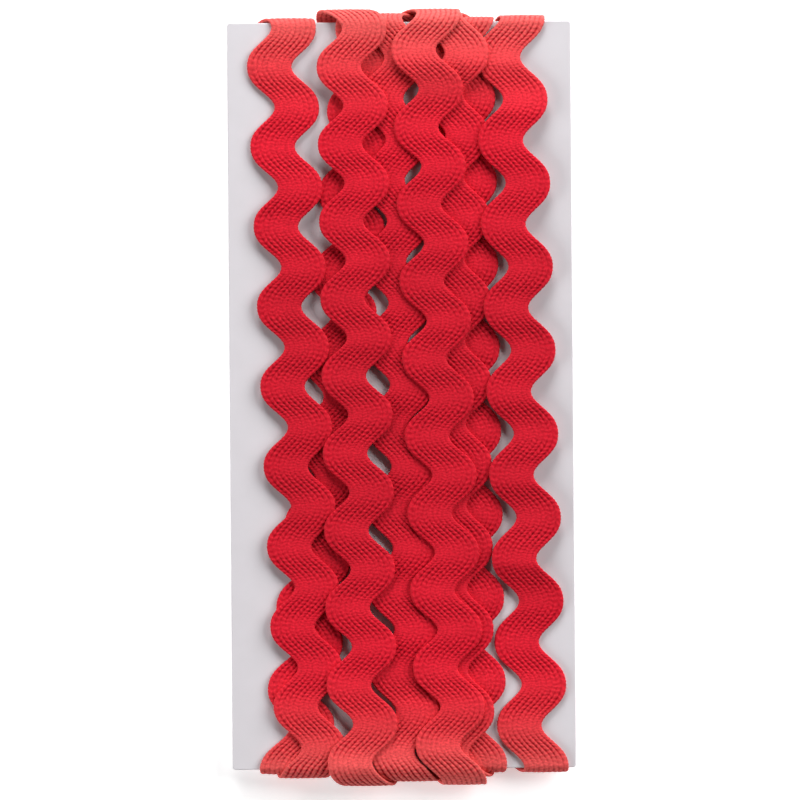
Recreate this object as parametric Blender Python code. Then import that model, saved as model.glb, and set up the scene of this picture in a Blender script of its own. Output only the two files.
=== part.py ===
"""Roll of ric rac: one length of red zigzag braid wound round a plain white card.

Metres, +Z up. The card lies flat, +X to its right and +Y to its top edge. The braid goes down the front, round the
bottom edge, up the back and over the top edge, eight times, and both of its ends are tucked in at the back. The
windings at the back lie on z = 0, and x = y = 0 is the middle of the whole.
"""

from math import cos, pi, sin, tau

import bmesh
import bpy

MM = 0.001

# The card
CARD_WIDTH = 61.0 * MM
CARD_HEIGHT = 132.6 * MM
CARD_THICKNESS = 1.0 * MM
CARD_CORNER = 0.5 * MM
CARD_EDGE = 0.15 * MM

# The braid, laid straight: 12.7 mm from the tip of one bend to the tip of the next on the other side
BRAID_THICKNESS = 0.62 * MM
BEND_LENGTH = 14.2 * MM  # one whole zigzag
BEND_REACH = 2.3 * MM  # from the middle line to the braid's own middle at a bend
BAND_HALF_WIDTH = 4.28 * MM  # measured across the length, on average
BAND_SWELL = 0.33 * MM  # wider on the slopes and narrower at the bends by this

# How it lies
CARD_GAP = 0.3 * MM
LAYER_GAP = 0.12 * MM
SIDE_GAP = 0.15 * MM
SAG = 0.05 * MM  # how far a loose stretch drops between two stations
WRAP_SAG = 0.3 * MM  # the same where tension pulls it round an edge
FLAT_BACK = 3.0 * MM  # thicker heaps at the back are pressed to this, so they lie flat
STATION = BEND_LENGTH / 8
WRAP_STEPS = 4

# Each turn's run down the front, from the first wound to the last: the place of its middle line at the card's top
# and bottom edge, the height of one of its right bends, its own zigzag length, which tension changes a little, and
# the layer in which it goes round the edges. All but the layer are in millimetres.
TURNS = {
    "first under right": dict(top=10.7, bottom=12.0, bend_at=52.8, bend=14.8, layer=1),
    "second under right": dict(top=9.7, bottom=9.8, bend_at=60.6, bend=14.6, layer=2),
    "first under left": dict(top=-4.9, bottom=-19.4, bend_at=58.3, bend=14.65, layer=1),
    "second under left": dict(top=-1.0, bottom=0.3, bend_at=59.9, bend=14.5, layer=2),
    "far left": dict(top=-20.95, bottom=-16.5, bend_at=51.3, bend=14.2, layer=1),
    "middle left": dict(top=-8.4, bottom=-7.3, bend_at=51.4, bend=13.7, layer=3),
    "middle right": dict(top=4.8, bottom=8.4, bend_at=54.3, bend=13.7, layer=3),
    "far right": dict(top=19.75, bottom=22.95, bend_at=52.4, bend=14.83, layer=1),
}
TAIL_IN = dict(x=4.0, share=0.8)  # the first end: where it starts, and how much of the back it covers
TAIL_OUT = dict(x=13.0, share=0.75)
# Near the top edge one earlier turn was pulled out over a later one.
OVER, UNDER, OVER_ABOVE = "second under right", "far right", 54.0 * MM

MATERIALS = {
    "white card": dict(colour=(0.75, 0.74, 0.76, 1.0), roughness=0.8),
    "red braid": dict(colour=(0.74, 0.04, 0.06, 1.0), roughness=0.7),
}


def clear_scene():
    for old in list(bpy.data.objects):
        bpy.data.objects.remove(old, do_unlink=True)


def material(name):
    made = bpy.data.materials.new(name)
    made.use_nodes = True
    shader = made.node_tree.nodes["Principled BSDF"]
    shader.inputs["Base Color"].default_value = MATERIALS[name]["colour"]
    shader.inputs["Roughness"].default_value = MATERIALS[name]["roughness"]
    shader.inputs["Metallic"].default_value = 0.0
    return made


def add_object(name, bm, material_name, place):
    mesh = bpy.data.meshes.new(name)
    bm.to_mesh(mesh)
    bm.free()
    mesh.materials.append(material(material_name))
    made = bpy.data.objects.new(name, mesh)
    made.location = place
    bpy.context.collection.objects.link(made)


def stations():
    """The places round the card where the braid's sections stand, each with its point and its outward direction, as
    (y, z, out_y, out_z). They start at the top of the front."""
    edge = CARD_THICKNESS / 2
    straight = CARD_HEIGHT / 2 - edge
    count = round(2 * straight / STATION)
    step = 2 * straight / count
    turn = pi / WRAP_STEPS
    places = []
    for side in (1, -1):  # the front, then the back
        for i in range(count + 1):
            places.append((side * (straight - i * step), side * edge, 0.0, side))
        for i in range(1, WRAP_STEPS):
            out_y, out_z = -side * sin(i * turn), side * cos(i * turn)
            places.append((-side * straight + edge * out_y, edge * out_z, out_y, out_z))
    return places


def front_phase(turn, y):
    """The zigzag's phase on a front run: 0 at a right bend, and growing downwards."""
    return tau * (turn["bend_at"] * MM - y) / (turn["bend"] * MM)


def wrap_phase(turn):
    """What the phase gains on the half circle round an edge, which is longer in the outer layers."""
    below = CARD_THICKNESS / 2 + CARD_GAP + (turn["layer"] - 1) * (BRAID_THICKNESS + LAYER_GAP)
    return tau * pi * (below + BRAID_THICKNESS / 2) / BEND_LENGTH


def braid_path(places):
    """One entry for each section along the whole braid: its station, its turn, its middle line's x and its phase."""
    per_side = len(places) // 2
    run = per_side - WRAP_STEPS  # steps in a straight run
    top_y, bottom_y = places[0][0], places[run][0]
    usual = tau * (top_y - bottom_y) / BEND_LENGTH
    turns = list(TURNS.values())
    path = []
    for number in range(-1, len(turns)):
        turn = turns[number] if number >= 0 else None
        following = turns[number + 1] if number + 1 < len(turns) else None
        if turn:
            for i in range(per_side):
                share = min(i / run, 1)
                x = turn["top"] + (turn["bottom"] - turn["top"]) * share
                phase = front_phase(turn, places[min(i, run)][0])
                phase += wrap_phase(turn) * max(i - run, 0) / WRAP_STEPS
                path.append(dict(station=i, turn=number, x=x * MM, phase=phase))
        low_x = turn["bottom"] if turn else TAIL_IN["x"]
        high_x = following["top"] if following else TAIL_OUT["x"]
        if turn:
            low_phase = front_phase(turn, bottom_y) + wrap_phase(turn)
        if following:
            high_phase = front_phase(following, top_y) - wrap_phase(following)
        if not turn:
            low_phase = high_phase - usual
        if not following:
            high_phase = low_phase + usual
        whole = round((low_phase + usual - high_phase) / tau)
        gained = high_phase + whole * tau - low_phase
        for i in range(per_side):
            share = min(i / run, 1)
            if not turn and share < 1 - TAIL_IN["share"]:
                continue
            if not following and share > TAIL_OUT["share"]:
                continue
            phase = low_phase + gained * share
            if i > run:
                phase += wrap_phase(following) * (i - run) / WRAP_STEPS
            x = low_x + (high_x - low_x) * share
            path.append(dict(station=per_side + i, turn=number, x=x * MM, phase=phase))
    return path


def band(entry):
    """The left and right edge of the braid at a section."""
    middle = entry["x"] + BEND_REACH * cos(entry["phase"])
    half = BAND_HALF_WIDTH - BAND_SWELL * cos(2 * entry["phase"])
    return middle - half, middle + half


def crosses(bands, i, j):
    """True if two turns' bands meet at this station or at the one before or after it."""
    for a, b in zip(bands[max(i - 1, 0) : i + 2], bands[max(j - 1, 0) : j + 2]):
        if a[0] < b[1] + SIDE_GAP and b[0] < a[1] + SIDE_GAP:
            return True
    return False


def swapped(lower, upper, places):
    """True where the later of two turns was pulled under the earlier one."""
    names = list(TURNS)
    if (lower["turn"], upper["turn"]) != (names.index(OVER), names.index(UNDER)):
        return False
    y, z = places[lower["station"]][:2]
    return y > OVER_ABOVE and z >= 0


def heights(path, places):
    """How far the braid's outer face lies from the card at each section: each turn lies on the card or on what was
    wound before it, and between such points it sags."""
    single = CARD_GAP + BRAID_THICKNESS
    pitch = BRAID_THICKNESS + LAYER_GAP
    bands = [band(entry) for entry in path]
    at_station = {}
    for i, entry in enumerate(path):
        at_station.setdefault(entry["station"], []).append(i)
    sag = [WRAP_SAG if abs(places[e["station"]][2]) > 0.01 else SAG for e in path]
    height = [single] * len(path)
    lowest = [single] * len(path)
    chunk, overlap = len(places) // 3, 8
    for sweep in range(2):
        for start in range(0, len(path), chunk):
            low, high = max(0, start - overlap), min(len(path), start + chunk)
            for i in range(low, high):
                lowest[i] = single
                for j in at_station[path[i]["station"]]:
                    below = j < i and not swapped(path[j], path[i], places)
                    below = below or (j > i and sweep and swapped(path[i], path[j], places))
                    if below and crosses(bands, i, j):
                        lowest[i] = max(lowest[i], height[j] + pitch)
                height[i] = lowest[i]
            settle(height, lowest, sag, low, high)
    return height


def settle(height, lowest, sag, low, high):
    """Lets the stretch from low to high hang between the points that hold it up."""
    start = max(low, 1)
    for _ in range(80):
        for i in range(start, high):
            after = height[i + 1] if i + 1 < high else height[i]
            height[i] = max(lowest[i], (height[i - 1] + after) / 2 - sag[i])


def pressed(path, places, height):
    """How much of its thickness the heap of layers keeps at each station: all of it, but for the back's high heaps."""
    top = [0.0] * len(places)
    for entry, outer in zip(path, height):
        if places[entry["station"]][3] == -1:
            top[entry["station"]] = max(top[entry["station"]], outer)
    return [min(1, (FLAT_BACK - CARD_GAP) / max(t - CARD_GAP, CARD_GAP)) for t in top]


def ribbon_points(path, places, height):
    """The four corners of each section, in order round it."""
    kept = pressed(path, places, height)
    rings = []
    for entry, loose in zip(path, height):
        y, z, out_y, out_z = places[entry["station"]]
        share = kept[entry["station"]]
        left, right = band(entry)
        outer = CARD_GAP + (loose - CARD_GAP) * share
        inner = outer - BRAID_THICKNESS * share
        corners = ((left, inner), (right, inner), (right, outer), (left, outer))
        rings.append([(x, y + h * out_y, z + h * out_z) for x, h in corners])
    return rings


def ribbon_mesh(rings):
    """A closed band through the rings: a grid whose long sides are sewn together and whose ends are filled."""
    bm = bmesh.new()
    sides = len(rings[0])
    bmesh.ops.create_grid(bm, x_segments=sides, y_segments=len(rings) - 1, size=1)
    bm.verts.ensure_lookup_table()
    for row, ring in enumerate(rings):
        for column in range(sides + 1):
            bm.verts[row * (sides + 1) + column].co = ring[column % sides]
    bmesh.ops.remove_doubles(bm, verts=bm.verts, dist=1e-7)
    open_edges = [edge for edge in bm.edges if edge.is_boundary]
    bmesh.ops.holes_fill(bm, edges=open_edges, sides=sides)
    bmesh.ops.recalc_face_normals(bm, faces=bm.faces)
    return bm


def card_mesh():
    """A thin box with rounded corners and slightly rounded edges."""
    bm = bmesh.new()
    bmesh.ops.create_cube(bm, size=1)
    bmesh.ops.scale(bm, vec=(CARD_WIDTH, CARD_HEIGHT, CARD_THICKNESS), verts=bm.verts)
    upright = [e for e in bm.edges if abs(e.verts[0].co.z - e.verts[1].co.z) > CARD_THICKNESS / 2]
    round_edges(bm, upright, CARD_CORNER, 3)
    flat = [e for e in bm.edges if abs(e.verts[0].co.z - e.verts[1].co.z) < CARD_THICKNESS / 2]
    round_edges(bm, flat, CARD_EDGE, 2)
    return bm


def round_edges(bm, edges, width, segments):
    bmesh.ops.bevel(
        bm,
        geom=edges,
        offset=width,
        segments=segments,
        affect="EDGES",
        profile=0.5,
        material=-1,
    )


def build():
    clear_scene()
    places = stations()
    path = braid_path(places)
    height = heights(path, places)
    rings = ribbon_points(path, places, height)
    ys = [y for ring in rings for _, y, _ in ring]
    zs = [z for ring in rings for _, _, z in ring]
    card_place = (0, -(min(ys) + max(ys)) / 2, -min(zs))  # the whole's middle is at the origin, its back on z = 0
    add_object("card", card_mesh(), "white card", card_place)
    add_object("ric_rac_winding", ribbon_mesh(rings), "red braid", card_place)


build()
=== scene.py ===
"""Looks of a roll of ric rac: red zigzag braid wound round a white card that lies face up.

Metres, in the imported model's frame: +X to the card's right, +Y to its top edge, +Z out of its front.
"""

from math import cos, pi, radians, sin, tau

import bmesh
import bpy
import numpy as np
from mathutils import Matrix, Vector


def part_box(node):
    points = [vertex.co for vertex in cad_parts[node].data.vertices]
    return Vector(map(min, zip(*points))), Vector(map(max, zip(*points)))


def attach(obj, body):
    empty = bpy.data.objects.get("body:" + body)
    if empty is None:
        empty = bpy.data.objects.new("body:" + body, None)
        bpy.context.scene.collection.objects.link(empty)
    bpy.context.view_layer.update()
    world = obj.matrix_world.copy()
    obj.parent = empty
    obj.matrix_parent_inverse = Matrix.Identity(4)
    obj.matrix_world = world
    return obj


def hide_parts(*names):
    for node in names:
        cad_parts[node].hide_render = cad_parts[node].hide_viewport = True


MM = 0.001
TINY = 0.01  # an angle in radians, or its sine, that counts as none

# The braid, as the model of its winding has it
BRAID_THICKNESS = 0.62 * MM
BEND_LENGTH = 14.2 * MM
BEND_REACH = 2.3 * MM
BAND_HALF_WIDTH = 4.28 * MM
BAND_SWELL = 0.33 * MM
CARD_HALF = 0.5 * MM
CARD_GAP = 0.3 * MM
LAYER_GAP = 0.12 * MM
SIDE_GAP = 0.15 * MM
SAG = 0.05 * MM
WRAP_SAG = 0.3 * MM
FLAT_BACK = 3.0 * MM
STATION = BEND_LENGTH / 8
WRAP_STEPS = 4
SHARED_STATIONS = 8  # how many the braid settles on again with each new stretch
SETTLE_ROUNDS = 80
FINER = 16  # steps of the fine route from one station to the next

TURNS = {
    "first under right": dict(top=10.7, bottom=12.0, bend_at=52.8, bend=14.8, layer=1),
    "second under right": dict(top=9.7, bottom=9.8, bend_at=60.6, bend=14.6, layer=2),
    "first under left": dict(top=-4.9, bottom=-19.4, bend_at=58.3, bend=14.65, layer=1),
    "second under left": dict(top=-1.0, bottom=0.3, bend_at=59.9, bend=14.5, layer=2),
    "far left": dict(top=-20.95, bottom=-16.5, bend_at=51.3, bend=14.2, layer=1),
    "middle left": dict(top=-8.4, bottom=-7.3, bend_at=51.4, bend=13.7, layer=3),
    "middle right": dict(top=4.8, bottom=8.4, bend_at=54.3, bend=13.7, layer=3),
    "far right": dict(top=19.75, bottom=22.95, bend_at=52.4, bend=14.83, layer=1),
}
TAIL_IN = dict(x=4.0, share=0.8)
TAIL_OUT = dict(x=13.0, share=0.75)
OVER, UNDER, OVER_ABOVE = "second under right", "far right", 54.0 * MM

# The braid's surface
RIBS = 7
SELVAGE = 0.11  # of the width, at each side
STITCH = 0.59 * MM
ROWS_A_STITCH = 3
POINTS_A_RIB = 4
SIDE_POINTS = (0.0, 0.018, 0.05)  # of the width, in from either side of the outer face
INNER_POINTS = (0.97, 0.5, 0.03)  # of the width, across the plain inner face
GROOVE_DEPTH = 0.12 * MM
HOLE_DEPTH = 0.15 * MM
THREAD_HEIGHT = 0.04 * MM
FAN_HEIGHT = 0.02 * MM
CROWN = 0.07 * MM
SIDE_DROP = 0.45 * BRAID_THICKNESS
ROUNDED_SIDE = 0.1  # of the half width, at each side
TOOTH = 0.04 * MM  # how far the stitches stand out at the braid's sides
TOOTHED_SIDE = 0.2  # of the half width, at each side
FAN = 0.3  # how far the rows of stitches turn with the bends, 1 being square to the braid
BEND_BOLDNESS = 0.12  # of the ribs' depth, left in the middle of a bend
FLAT_THREADS = 0.4  # of the threads' height, left where the ribs have none
OPEN_AT_EDGE = 0.5  # how far the ribs stand open where the braid goes round the edge of the card
JOINT = 0.06  # how far two stretches run on past where they part, in stations
SEAM_REACH = 0.0001 * MM  # two points of a seam that lie closer than this are one

# How far the stitches stray, in stitches or ribs, and how fast that changes along the braid and across it
STRAY_ALONG = ((0.12, 0.9, 2.6), (0.07, 2.3, -1.7))
STRAY_SIDEWAYS = ((0.05, 1.3, 1.9),)

# The braid's dye, with painted light and shade: lit and shaded reds, painted shade in grooves and holes, a
# painted sheen
# # on its crowns towards the card's ends and a deeper red half way down, with distances along the card
# from its middle
# Painted light and shade on the threads: a lit red on their crowns, a shaded red where they part
LIT_THREAD_RED, SHADED_GAP_RED = "#EC2438", "#D00C26"
# Painted shade in the grooves between the ribs and in the holes between the threads
GROOVE_SHADE_RED, HOLE_SHADE_RED = "#C0061E", "#78000E"
# A painted sheen on the crowns towards the card's two ends, and the tint of the real sheen
PAINTED_SHEEN_TINT, BLOOM_TINT = "#F8B8A4", "#FFC8C4"
PAINTED_SHEEN_FROM, PAINTED_SHEEN_TO, PAINTED_SHEEN_MOST = 41 * MM, 69 * MM, 0.27
# Darker towards the card's middle, full strength from there out to where the plain red begins
DEEP_TO, UNDARKENED_FROM, MIDDLE_DARKEST = 20 * MM, 52 * MM, 0.82
HOLE_PATCH = 0.9 * MM  # over which one hole grows deeper than the next
DYE_PATCH = 9 * MM
BUNDLE = 0.4 * MM
FIBRE = 0.2 * MM  # about ten times the real width, so that it shows
FUZZ = 0.06 * MM

# The card's board
BOARD_SHADES = ("#D7D3D7", "#DEDADF")
PULP_CLOUD = 4 * MM
PULP_FIBRE = 0.3 * MM  # about ten times the real width, so that it shows
PULP_TOOTH = 0.02 * MM

# The photograph: 800 pixels square, with the card's middle and lean measured in it
PHOTO_PIXELS = 800
PIXEL = 0.1776 * MM
CARD_MIDDLE_PX = (401.4, 395.3)
CARD_LEAN = radians(0.45)
CAMERA_HEIGHT = 1.2
SENSOR_WIDTH = 36  # in millimetres, as for any camera

# The room
FLOOR_REACH = 1.5
ROOM_LIGHT = 0.05


def linear(hex_colour):
    """An sRGB hex value as linear red, green, blue and alpha."""
    parts = [int(hex_colour[i : i + 2], 16) / 255 for i in (1, 3, 5)]
    return [c / 12.92 if c <= 0.04045 else ((c + 0.055) / 1.055) ** 2.4 for c in parts] + [1.0]


def add(tree, kind, links=None, **settings):
    """One node, with its settings by name.

    links gives its inputs, by name or number, a value, a socket or another node.
    """
    made = tree.nodes.new(kind)
    for name, value in settings.items():
        setattr(made, name, value)
    for place, value in (links or {}).items():
        socket = made.inputs[place]
        if isinstance(value, bpy.types.Node):
            value = value.outputs[0]
        if isinstance(value, bpy.types.NodeSocket):
            tree.links.new(value, socket)
        else:
            socket.default_value = value
    return made


def new_material(name):
    """A material without any nodes, and the tree that they go into."""
    made = bpy.data.materials.new(name)
    made.use_nodes = True
    made.node_tree.nodes.clear()
    return made, made.node_tree


# Where the braid runs


def stations(card_low, card_high):
    """The places round the card, from the top of its front, as (y, angle turned so far)."""
    edge = (card_high.z - card_low.z) / 2
    straight = (card_high.y - card_low.y) / 2 - edge
    count = round(2 * straight / STATION)
    step = 2 * straight / count
    places = []
    for side in (1, -1):
        begun = 0 if side == 1 else pi
        for i in range(count + 1):
            places.append((side * (straight - i * step), begun))
        for i in range(1, WRAP_STEPS):
            places.append((-side * straight, begun + i * pi / WRAP_STEPS))
    return places


def front_phase(turn, y):
    """The zigzag's phase on a front run: 0 at a right bend, and growing downwards."""
    return tau * (turn["bend_at"] * MM - y) / (turn["bend"] * MM)


def wrap_phase(turn):
    """What the phase gains on the half circle round an edge, which is longer in the outer layers."""
    below = CARD_HALF + CARD_GAP + (turn["layer"] - 1) * (BRAID_THICKNESS + LAYER_GAP)
    return tau * pi * (below + BRAID_THICKNESS / 2) / BEND_LENGTH


def braid_path(places):
    """One entry for each section along the whole braid: its station, turn, middle line's x and phase."""
    per_side = len(places) // 2
    run = per_side - WRAP_STEPS  # steps in a straight run
    top_y, bottom_y = places[0][0], places[run][0]
    usual = tau * (top_y - bottom_y) / BEND_LENGTH
    turns = list(TURNS.values())
    path = []
    for number in range(-1, len(turns)):
        turn = turns[number] if number >= 0 else None
        following = turns[number + 1] if number + 1 < len(turns) else None
        if turn:
            for i in range(per_side):
                share = min(i / run, 1)
                x = turn["top"] + (turn["bottom"] - turn["top"]) * share
                phase = front_phase(turn, places[min(i, run)][0])
                phase += wrap_phase(turn) * max(i - run, 0) / WRAP_STEPS
                path.append(dict(station=i, turn=number, x=x * MM, phase=phase))
        low_x = turn["bottom"] if turn else TAIL_IN["x"]
        high_x = following["top"] if following else TAIL_OUT["x"]
        if turn:
            low_phase = front_phase(turn, bottom_y) + wrap_phase(turn)
        if following:
            high_phase = front_phase(following, top_y) - wrap_phase(following)
        if not turn:
            low_phase = high_phase - usual
        if not following:
            high_phase = low_phase + usual
        whole = round((low_phase + usual - high_phase) / tau)
        gained = high_phase + whole * tau - low_phase
        for i in range(per_side):
            share = min(i / run, 1)
            if not turn and share < 1 - TAIL_IN["share"]:
                continue
            if not following and share > TAIL_OUT["share"]:
                continue
            phase = low_phase + gained * share
            if i > run:
                phase += wrap_phase(following) * (i - run) / WRAP_STEPS
            x = low_x + (high_x - low_x) * share
            path.append(dict(station=per_side + i, turn=number, x=x * MM, phase=phase))
    return path


def band(entry):
    """The left and right edge of the braid at a section."""
    middle = entry["x"] + BEND_REACH * cos(entry["phase"])
    half = BAND_HALF_WIDTH - BAND_SWELL * cos(2 * entry["phase"])
    return middle - half, middle + half


def crosses(bands, i, j):
    """True if two turns' bands meet at this station or at the one before or after it."""
    for a, b in zip(bands[max(i - 1, 0) : i + 2], bands[max(j - 1, 0) : j + 2]):
        if a[0] < b[1] + SIDE_GAP and b[0] < a[1] + SIDE_GAP:
            return True
    return False


def swapped(lower, upper, places):
    """True where the later of two turns was pulled under the earlier one."""
    names = list(TURNS)
    if (lower["turn"], upper["turn"]) != (names.index(OVER), names.index(UNDER)):
        return False
    y, angle = places[lower["station"]]
    return y > OVER_ABOVE and cos(angle) > -TINY


def heights(path, places):
    """How far the outer face lies from the card at each section."""
    single = CARD_GAP + BRAID_THICKNESS
    pitch = BRAID_THICKNESS + LAYER_GAP
    bands = [band(entry) for entry in path]
    at_station = {}
    for i, entry in enumerate(path):
        at_station.setdefault(entry["station"], []).append(i)
    sag = [WRAP_SAG if abs(sin(places[e["station"]][1])) > TINY else SAG for e in path]
    height = [single] * len(path)
    lowest = [single] * len(path)
    stretch = len(places) // 3
    for sweep in range(2):
        for start in range(0, len(path), stretch):
            low, high = max(0, start - SHARED_STATIONS), min(len(path), start + stretch)
            for i in range(low, high):
                lowest[i] = single
                for j in at_station[path[i]["station"]]:
                    below = j < i and not swapped(path[j], path[i], places)
                    below = below or (j > i and sweep and swapped(path[i], path[j], places))
                    if below and crosses(bands, i, j):
                        lowest[i] = max(lowest[i], height[j] + pitch)
                height[i] = lowest[i]
            settle(height, lowest, sag, low, high)
    return height


def settle(height, lowest, sag, low, high):
    """Lets the stretch from low to high hang between the points that hold it up."""
    for _ in range(SETTLE_ROUNDS):
        for i in range(max(low, 1), high):
            after = height[i + 1] if i + 1 < high else height[i]
            height[i] = max(lowest[i], (height[i - 1] + after) / 2 - sag[i])


def pressed(path, places, height):
    """How much of its thickness the heap of layers keeps at each station."""
    top = [0.0] * len(places)
    for entry, outer in zip(path, height):
        if abs(places[entry["station"]][1] - pi) < TINY:
            top[entry["station"]] = max(top[entry["station"]], outer)
    return [min(1, (FLAT_BACK - CARD_GAP) / max(t - CARD_GAP, CARD_GAP)) for t in top]


# The braid's form


def whole_route(card_low, card_high):
    """The braid's route as arrays with one value for each section: its place, height and thickness."""
    places = stations(card_low, card_high)
    path = braid_path(places)
    height = heights(path, places)
    kept = pressed(path, places, height)
    loops = 0
    angles = []
    for before, entry in zip([path[0]] + path, path):
        loops += entry["station"] < before["station"]
        angles.append(places[entry["station"]][1] + tau * loops)
    share = np.array([kept[e["station"]] for e in path])
    return dict(
        y=np.array([places[e["station"]][0] for e in path]),
        angle=np.array(angles),
        x=np.array([e["x"] for e in path]),
        phase=np.unwrap([e["phase"] for e in path]),
        outer=CARD_GAP + (np.array(height) - CARD_GAP) * share,
        thick=BRAID_THICKNESS * share,
        station=np.array([e["station"] for e in path]),
    )


def softened(values, spread):
    """values smoothed by a rounded window."""
    window = np.hanning(2 * spread + 3)[1:-1]
    window /= window.sum()
    return np.convolve(np.pad(values, spread, mode="edge"), window, mode="valid")


def fine_route(route, edge):
    """The route at evenly spaced rows, a few to a stitch, measured along the braid's own length."""
    count = len(route["y"])
    at = np.linspace(0, count - 1, (count - 1) * FINER + 1)
    dense = {k: np.interp(at, np.arange(count), v) for k, v in route.items() if k != "station"}
    for key in ("outer", "thick"):
        dense[key] = softened(dense[key], FINER // 2)
    reach = edge + dense["outer"] - dense["thick"] / 2
    middle = [dense["x"], dense["y"] - reach * np.sin(dense["angle"]), reach * np.cos(dense["angle"])]
    steps = np.linalg.norm(np.diff(np.stack(middle, axis=1), axis=0), axis=1)
    run = np.concatenate([[0], np.cumsum(steps)])
    even = np.linspace(0, run[-1], round(run[-1] / STITCH * ROWS_A_STITCH))
    fine = {k: np.interp(even, run, v) for k, v in dense.items()}
    fine["at"] = np.interp(even, run, at)
    fine["stitch"] = even / STITCH
    return fine


def across():
    """The points round a section: from 0 at the left edge to 1 at the right, and back underneath."""
    rib_points = np.linspace(SELVAGE, 1 - SELVAGE, RIBS * POINTS_A_RIB + 1)
    side = np.array(SIDE_POINTS)
    outer_face = np.concatenate([side, rib_points, 1 - side[::-1]])
    return outer_face, np.array(INNER_POINTS)


def half_width(f):
    """Half the braid's width along the card, which swells on the slopes between two bends."""
    return BAND_HALF_WIDTH - BAND_SWELL * np.cos(2 * f["phase"])


def stray(waves, rib, stitch):
    """How far the stitches lie from where they should, in slow waves over the braid."""
    return sum(far * np.sin(along * stitch + sideways * rib) for far, along, sideways in waves)


def pattern_place(u, f):
    """Where points lie in the braid's pattern: the rib, counted from the left, and the stitch.

    Rows of stitches lean towards the bends, so that they fan out round them, and all stray a little.
    """
    rib = (u - SELVAGE) / (1 - 2 * SELVAGE) * RIBS
    lean = -FAN * BEND_REACH * tau / BEND_LENGTH * np.sin(f["phase"])
    stitch = f["stitch"] + lean * half_width(f) * (2 * u - 1) / STITCH
    return rib + stray(STRAY_SIDEWAYS, rib, stitch), stitch + stray(STRAY_ALONG, rib, stitch)


def sloping(f):
    """How far the ribs stand open: from 0 in the middle of a bend to 1 on the slopes."""
    return np.maximum(np.sin(f["phase"]) ** 2, OPEN_AT_EDGE * np.abs(np.sin(f["angle"])))


def fanned(u, f):
    """How far a point is out on the outer side of a bend, from 0 to 1."""
    return np.clip((2 * u - 1) * np.cos(f["phase"]), 0, 1) * (1 - np.abs(np.sin(f["phase"])))


def relief(u, rib, stitch, f):
    """The outer face's height over a plain one: leaning threads in ribs, with holes between them."""
    bold = BEND_BOLDNESS + (1 - BEND_BOLDNESS) * sloping(f)
    ribbed = np.abs(rib - RIBS / 2) < RIBS / 2 + 0.5
    groove = (0.5 + 0.5 * np.cos(tau * rib)) ** 2 * ribbed
    zigzag = np.abs((rib + 1) % 2 - 1)
    gap = 0.5 + 0.5 * np.cos(tau * (stitch + 0.5 * zigzag))
    side = np.clip((np.abs(2 * u - 1) - (1 - ROUNDED_SIDE)) / ROUNDED_SIDE, 0, 1)
    return (
        -GROOVE_DEPTH * groove * bold
        - HOLE_DEPTH * groove * gap * bold
        - THREAD_HEIGHT * (1 - groove) * gap * (FLAT_THREADS + (1 - FLAT_THREADS) * bold)
        - FAN_HEIGHT * fanned(u, f) * np.cos(tau * stitch)
        - CROWN * (2 * u - 1) ** 2
        - SIDE_DROP * (1 - np.sqrt(1 - side**2))
    )


def braid_piece(name, fine, rows, edge, centre, material):
    """One stretch of the braid: a grid rolled into a flat tube, its outer face carrying the ribs."""
    outer_face, inner_face = across()
    u = np.concatenate([outer_face, inner_face, outer_face[:1]])[None, :]
    f = {k: v[rows, None] for k, v in fine.items()}
    rib, stitch = pattern_place(u, f)
    on_top = np.arange(u.size)[None, :] % (u.size - 1) < len(outer_face)
    share = f["thick"] / BRAID_THICKNESS
    outer = f["outer"] + relief(u, rib, stitch, f) * share
    reach = edge + np.where(on_top, outer, f["outer"] - f["thick"])
    near_side = np.clip(np.abs(2 * u - 1) - (1 - TOOTHED_SIDE), 0, TOOTHED_SIDE)
    toothed = TOOTH * near_side / TOOTHED_SIDE * np.sign(2 * u - 1)
    x = f["x"] + BEND_REACH * np.cos(f["phase"]) + half_width(f) * (2 * u - 1)
    x += toothed * np.cos(tau * f["stitch"])
    y = f["y"] - reach * np.sin(f["angle"])
    z = reach * np.cos(f["angle"])
    points = np.stack([x + centre.x, y + centre.y, z + centre.z], axis=2).reshape(-1, 3)

    bm = bmesh.new()
    bmesh.ops.create_grid(bm, x_segments=u.size - 1, y_segments=len(rows) - 1, size=1)
    bm.loops.layers.uv.new("Braid")
    mesh = bpy.data.meshes.new(name)
    bm.to_mesh(mesh)
    bm.free()
    mesh.vertices.foreach_set("co", points.astype(np.float32).ravel())
    corners = np.empty(len(mesh.loops), np.int32)
    mesh.loops.foreach_get("vertex_index", corners)
    pattern = np.stack([rib, stitch], axis=2).reshape(-1, 2)
    mesh.uv_layers["Braid"].uv.foreach_set("vector", pattern[corners].astype(np.float32).ravel())
    slope = sloping(f) * np.ones_like(u)
    for label, values in (("slope", slope), ("fan", fanned(u, f))):
        layer = mesh.attributes.new(label, "FLOAT", "POINT")
        layer.data.foreach_set("value", values.astype(np.float32).ravel())

    sewn = bmesh.new()
    sewn.from_mesh(mesh)
    seam = [v for v in sewn.verts if v.is_boundary]
    bmesh.ops.remove_doubles(sewn, verts=seam, dist=SEAM_REACH)
    ends = [e for e in sewn.edges if e.is_boundary]
    bmesh.ops.holes_fill(sewn, edges=ends, sides=u.size)
    bmesh.ops.recalc_face_normals(sewn, faces=sewn.faces)
    sewn.to_mesh(mesh)
    sewn.free()
    mesh.materials.append(material)
    mesh.shade_smooth()
    piece = bpy.data.objects.new(name, mesh)
    bpy.context.collection.objects.link(piece)
    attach(piece, "root")
    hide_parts("ric_rac_winding")


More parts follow.
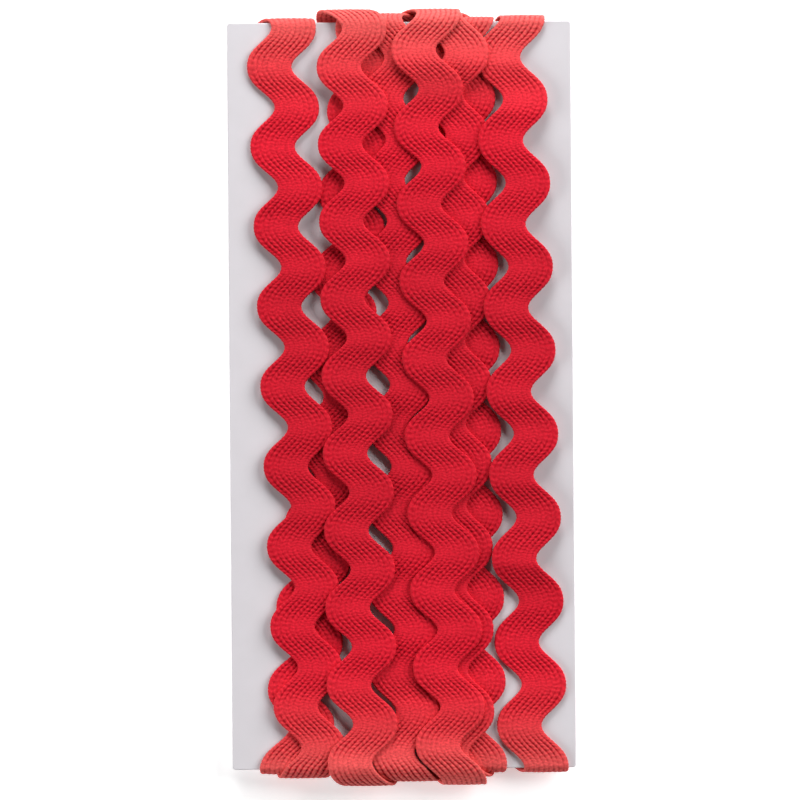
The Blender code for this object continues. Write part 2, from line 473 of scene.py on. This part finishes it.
def make_braid(card_low, card_high, material):
    """The whole winding, one piece for each turn, parted at the back where nothing but the joint shows."""
    edge = (card_high.z - card_low.z) / 2
    centre = (card_low + card_high) / 2
    route = whole_route(card_low, card_high)
    fine = fine_route(route, edge)
    half_back = len(stations(card_low, card_high)) * 3 // 4
    cuts = np.nonzero(route["station"] == half_back)[0]
    starts = [0, *cuts[1:-1], len(route["station"]) - 1]
    for name, start, stop in zip(TURNS, starts, starts[1:]):
        rows = np.nonzero((fine["at"] >= start - JOINT) & (fine["at"] <= stop + JOINT))[0]
        braid_piece("braid_" + name.replace(" ", "_"), fine, rows, edge, centre, material)


# Materials


def cotton_braid():
    """Braided cotton and polyester, dyed red and left unpressed.

    A dull cloth, with a lit red painted on its threads' crowns and painted shade, nearly black red, in the
    holes between them, and a pale bloom where it is seen edge on.
    """
    made, tree = new_material("braided cotton, dyed red")
    spot = add(tree, "ShaderNodeSeparateXYZ", {0: add(tree, "ShaderNodeUVMap", uv_map="Braid")})
    rib, stitch = spot.outputs[0], spot.outputs[1]
    slope = add(tree, "ShaderNodeAttribute", attribute_name="slope").outputs["Fac"]
    fan = add(tree, "ShaderNodeAttribute", attribute_name="fan").outputs["Fac"]
    own = add(tree, "ShaderNodeTexCoord").outputs["Object"]

    # Each thread leans over its rib from one groove to the next, and the next rib's threads lean back
    zigzag = add(tree, "ShaderNodeMath", {0: rib, 1: 1.0}, operation="PINGPONG")
    along = add(tree, "ShaderNodeMath", {0: zigzag, 1: 0.5, 2: stitch}, operation="MULTIPLY_ADD")
    turned = add(tree, "ShaderNodeMath", {0: along, 1: tau}, operation="MULTIPLY")
    wave = add(tree, "ShaderNodeMath", {0: turned}, operation="COSINE")
    gap = add(tree, "ShaderNodeMath", {0: wave, 1: 0.5, 2: 0.5}, operation="MULTIPLY_ADD")

    # Grooves between the ribs, where the gaps between threads open into holes on the slopes
    swung = add(tree, "ShaderNodeMath", {0: rib, 1: tau}, operation="MULTIPLY")
    hills = add(tree, "ShaderNodeMath", {0: swung}, operation="COSINE")
    raised = add(tree, "ShaderNodeMath", {0: hills, 1: 0.5, 2: 0.5}, operation="MULTIPLY_ADD")
    narrow = add(tree, "ShaderNodeMath", {0: raised, 1: 3.0}, operation="POWER")
    ribbed = add(tree, "ShaderNodeMath", {0: rib, 1: RIBS / 2, 2: RIBS / 2 + 0.5}, operation="COMPARE")
    bold = add(
        tree,
        "ShaderNodeMath",
        {0: slope, 1: 1 - BEND_BOLDNESS, 2: BEND_BOLDNESS},
        operation="MULTIPLY_ADD",
    )
    strength = add(tree, "ShaderNodeMath", {0: bold, 1: ribbed}, operation="MULTIPLY")
    groove = add(tree, "ShaderNodeMath", {0: narrow, 1: strength}, operation="MULTIPLY")
    long_gap = add(tree, "ShaderNodeMath", {0: gap, 1: 0.8}, operation="POWER")
    hole = add(tree, "ShaderNodeMath", {0: groove, 1: long_gap}, operation="MULTIPLY")

    # Lines straight across the braid, where it is stretched round the outside of a bend
    swept = add(tree, "ShaderNodeMath", {0: stitch, 1: tau}, operation="MULTIPLY")
    rows = add(tree, "ShaderNodeMath", {0: swept}, operation="COSINE")
    lines = add(tree, "ShaderNodeMath", {0: rows, 1: 0.5, 2: 0.5}, operation="MULTIPLY_ADD")

    # Each hole's painted shade differs in depth from the next
    uneven = add(tree, "ShaderNodeTexNoise", {"Vector": own, "Scale": 1 / HOLE_PATCH, "Detail": 1.0})
    depth = add(tree, "ShaderNodeMapRange", {0: uneven, 1: 0.35, 2: 0.65, 3: 0.4, 4: 1.0})
    darkness = add(tree, "ShaderNodeMath", {0: hole, 1: depth}, operation="MULTIPLY")
    crossing = add(tree, "ShaderNodeMath", {0: slope, 1: 0.6, 2: 0.4}, operation="MULTIPLY_ADD")
    stretched = add(tree, "ShaderNodeMath", {0: fan, 1: 0.5}, operation="MULTIPLY")
    leaned = add(tree, "ShaderNodeMath", {0: gap, 1: crossing}, operation="MULTIPLY")
    parted = add(
        tree,
        "ShaderNodeMath",
        {0: lines, 1: stretched, 2: leaned},
        operation="MULTIPLY_ADD",
        use_clamp=True,
    )
    # Painted shade: the threads go from a lit red to a shaded red where they part, and along the lines
    # round the bends
    thread = add(
        tree, "ShaderNodeMix", {0: parted, 6: linear(LIT_THREAD_RED), 7: linear(SHADED_GAP_RED)}, data_type="RGBA"
    )

    # A painted sheen, paler and pinker on its crowns towards the two ends of the card, standing in for the
    # light that falls
    # # there, and a deeper red half way down the card
    height = add(tree, "ShaderNodeSeparateXYZ", {0: own}).outputs[1]
    from_middle = add(tree, "ShaderNodeMath", {0: height}, operation="ABSOLUTE")
    darker_mid = add(
        tree, "ShaderNodeMapRange", {0: from_middle, 1: DEEP_TO, 2: UNDARKENED_FROM, 3: MIDDLE_DARKEST, 4: 1.0}
    )
    outwards = add(tree, "ShaderNodeMapRange", {0: from_middle, 1: PAINTED_SHEEN_FROM, 2: PAINTED_SHEEN_TO})
    steeply = add(tree, "ShaderNodeMath", {0: outwards, 1: 3.0}, operation="POWER")
    painted_sheen = add(tree, "ShaderNodeMath", {0: steeply, 1: PAINTED_SHEEN_MOST}, operation="MULTIPLY")
    with_painted_sheen = add(
        tree, "ShaderNodeMix", {0: painted_sheen, 6: thread.outputs[2], 7: linear(PAINTED_SHEEN_TINT)}, data_type="RGBA"
    )
    # Painted shade: the grooves and the holes in them are darkened towards nearly black red
    grooved = add(
        tree, "ShaderNodeMix", {0: groove, 6: with_painted_sheen.outputs[2], 7: linear(GROOVE_SHADE_RED)}, data_type="RGBA"
    )
    holed = add(
        tree, "ShaderNodeMix", {0: darkness, 6: grooved.outputs[2], 7: linear(HOLE_SHADE_RED)}, data_type="RGBA"
    )

    # The dye took unevenly over centimetres, and from one bundle of fibres to the next
    patches = add(tree, "ShaderNodeTexNoise", {"Vector": own, "Scale": 1 / DYE_PATCH, "Detail": 3.0})
    specks = add(tree, "ShaderNodeTexNoise", {"Vector": own, "Scale": 1 / BUNDLE, "Detail": 2.0})
    fibres = add(tree, "ShaderNodeTexNoise", {"Vector": own, "Scale": 1 / FIBRE, "Detail": 2.0})
    cloudy = add(tree, "ShaderNodeMapRange", {0: patches, 1: 0.3, 2: 0.7, 3: 0.94, 4: 1.05})
    mottled = add(tree, "ShaderNodeMapRange", {0: specks, 1: 0.3, 2: 0.7, 3: 0.8, 4: 1.16})
    patches_and_middle = add(tree, "ShaderNodeMath", {0: cloudy, 1: darker_mid}, operation="MULTIPLY")
    shade = add(tree, "ShaderNodeMath", {0: patches_and_middle, 1: mottled}, operation="MULTIPLY")
    coloured = add(tree, "ShaderNodeHueSaturation", {"Value": shade, "Color": holed.outputs[2]})
    rough = add(tree, "ShaderNodeMapRange", {0: fibres, 1: 0.3, 2: 0.7, 3: 0.5, 4: 0.75})
    sunk = add(tree, "ShaderNodeMath", {0: darkness, 1: parted}, operation="ADD")
    fuzzy = add(tree, "ShaderNodeMath", {0: fibres, 1: sunk}, operation="SUBTRACT")
    bump = add(tree, "ShaderNodeBump", {"Strength": 0.5, "Distance": FUZZ, "Height": fuzzy})
    shader = add(
        tree,
        "ShaderNodeBsdfPrincipled",
        {
            "Base Color": coloured,
            "Roughness": rough,
            "Normal": bump,
            "IOR": 1.5,
            "Specular IOR Level": 0.1,
            "Sheen Weight": 0.06,
            "Sheen Roughness": 0.4,
            "Sheen Tint": linear(BLOOM_TINT),
        },
    )
    add(tree, "ShaderNodeOutputMaterial", {0: shader})
    return made


def pulp_card():
    """White pulp board, calendered: flat and dull, with a faint cloud of fibres."""
    made, tree = new_material("white pulp board")
    own = add(tree, "ShaderNodeTexCoord").outputs["Object"]
    clouds = add(tree, "ShaderNodeTexNoise", {"Vector": own, "Scale": 1 / PULP_CLOUD, "Detail": 4.0})
    fibres = add(tree, "ShaderNodeTexNoise", {"Vector": own, "Scale": 1 / PULP_FIBRE, "Detail": 3.0})
    darker, lighter = (linear(shade) for shade in BOARD_SHADES)
    colour = add(tree, "ShaderNodeMix", {0: clouds, 6: darker, 7: lighter}, data_type="RGBA")
    rough = add(tree, "ShaderNodeMapRange", {0: fibres, 1: 0.3, 2: 0.7, 3: 0.6, 4: 0.75})
    bump = add(tree, "ShaderNodeBump", {"Strength": 0.25, "Distance": PULP_TOOTH, "Height": fibres})
    shader = add(
        tree,
        "ShaderNodeBsdfPrincipled",
        {"Base Color": colour.outputs[2], "Roughness": rough, "Normal": bump, "IOR": 1.47},
    )
    add(tree, "ShaderNodeOutputMaterial", {0: shader})
    return made


def plain_floor():
    """A matt sheet of white opal acrylic, lit a little from below, so that shadows on it stay pale."""
    made, tree = new_material("matt white opal acrylic")
    shader = add(
        tree,
        "ShaderNodeBsdfPrincipled",
        {
            "Base Color": linear("#FCFCFC"),
            "Roughness": 0.9,
            "Emission Color": linear("#FFFFFF"),
            "Emission Strength": 0.4,
        },
    )
    add(tree, "ShaderNodeOutputMaterial", {0: shader})
    return made


# The setting


def make_floor():
    """The sheet that the roll lies on, which reaches past the picture on every side."""
    bm = bmesh.new()
    bmesh.ops.create_grid(bm, x_segments=1, y_segments=1, size=FLOOR_REACH)
    mesh = bpy.data.meshes.new("floor")
    bm.to_mesh(mesh)
    bm.free()
    mesh.materials.append(plain_floor())
    floor = bpy.data.objects.new("floor", mesh)
    bpy.context.collection.objects.link(floor)


def soft_light(name, aim, distance, side, rise, size, watts):
    """A round soft box, side degrees round from the right of aim and rise degrees above the floor."""
    lamp = bpy.data.lights.new(name, "AREA")
    lamp.shape = "DISK"
    lamp.size = size
    lamp.energy = watts
    made = bpy.data.objects.new(name, lamp)
    flat = cos(radians(rise))
    towards = Vector((flat * cos(radians(side)), flat * sin(radians(side)), sin(radians(rise))))
    made.location = Vector(aim) + distance * towards
    made.rotation_euler = (-towards).to_track_quat("-Z", "Y").to_euler()
    made.visible_camera = False
    bpy.context.collection.objects.link(made)


def light_all(card_high):
    """Low soft boxes, so that little light falls straight down into the holes of the winding."""
    world = bpy.data.worlds.new("studio")
    world.use_nodes = True
    back = world.node_tree.nodes["Background"]
    back.inputs[0].default_value = (1.0, 1.0, 1.0, 1.0)
    back.inputs[1].default_value = ROOM_LIGHT
    bpy.context.scene.world = world
    middle, top_edge = (0, 0, 0), (0, card_high.y, card_high.z)
    soft_light("key", middle, distance=2, side=30, rise=33, size=1.4, watts=38)
    soft_light("top", middle, distance=2, side=95, rise=25, size=0.9, watts=25)
    soft_light("fill", middle, distance=2, side=195, rise=25, size=1.2, watts=22)
    soft_light("glow", top_edge, distance=0.1, side=92, rise=14, size=0.07, watts=0.04)
    bpy.context.scene.view_settings.view_transform = "Standard"


def set_camera(card_low, card_high):
    """Straight above, so far off that it sees the card almost without perspective."""
    centre = (card_low + card_high) / 2
    half = PHOTO_PIXELS / 2
    right = (half - CARD_MIDDLE_PX[0]) * PIXEL
    up = (CARD_MIDDLE_PX[1] - half) * PIXEL
    camera = bpy.data.cameras.new("camera")
    distance = CAMERA_HEIGHT - card_high.z
    camera.sensor_width = SENSOR_WIDTH
    camera.lens = SENSOR_WIDTH * distance / (PHOTO_PIXELS * PIXEL)
    camera.clip_start = 10 * MM
    made = bpy.data.objects.new("camera", camera)
    lean = -CARD_LEAN
    made.location = (
        centre.x + right * cos(lean) - up * sin(lean),
        centre.y + right * sin(lean) + up * cos(lean),
        CAMERA_HEIGHT,
    )
    made.rotation_euler = (0, 0, lean)
    bpy.context.collection.objects.link(made)
    bpy.context.scene.camera = made


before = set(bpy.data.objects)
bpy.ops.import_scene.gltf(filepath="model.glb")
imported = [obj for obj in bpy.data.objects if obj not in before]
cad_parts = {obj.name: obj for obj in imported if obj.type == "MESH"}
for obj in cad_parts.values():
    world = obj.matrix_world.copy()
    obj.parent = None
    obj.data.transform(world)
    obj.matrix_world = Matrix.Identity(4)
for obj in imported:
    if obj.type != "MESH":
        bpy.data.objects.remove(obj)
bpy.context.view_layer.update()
card_low, card_high = (Vector(corner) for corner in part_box("card"))
set_camera(card_low, card_high)
light_all(card_high)
make_floor()
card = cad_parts["card"]
card.data.materials.clear()
card.data.materials.append(pulp_card())
make_braid(card_low, card_high, cotton_braid())
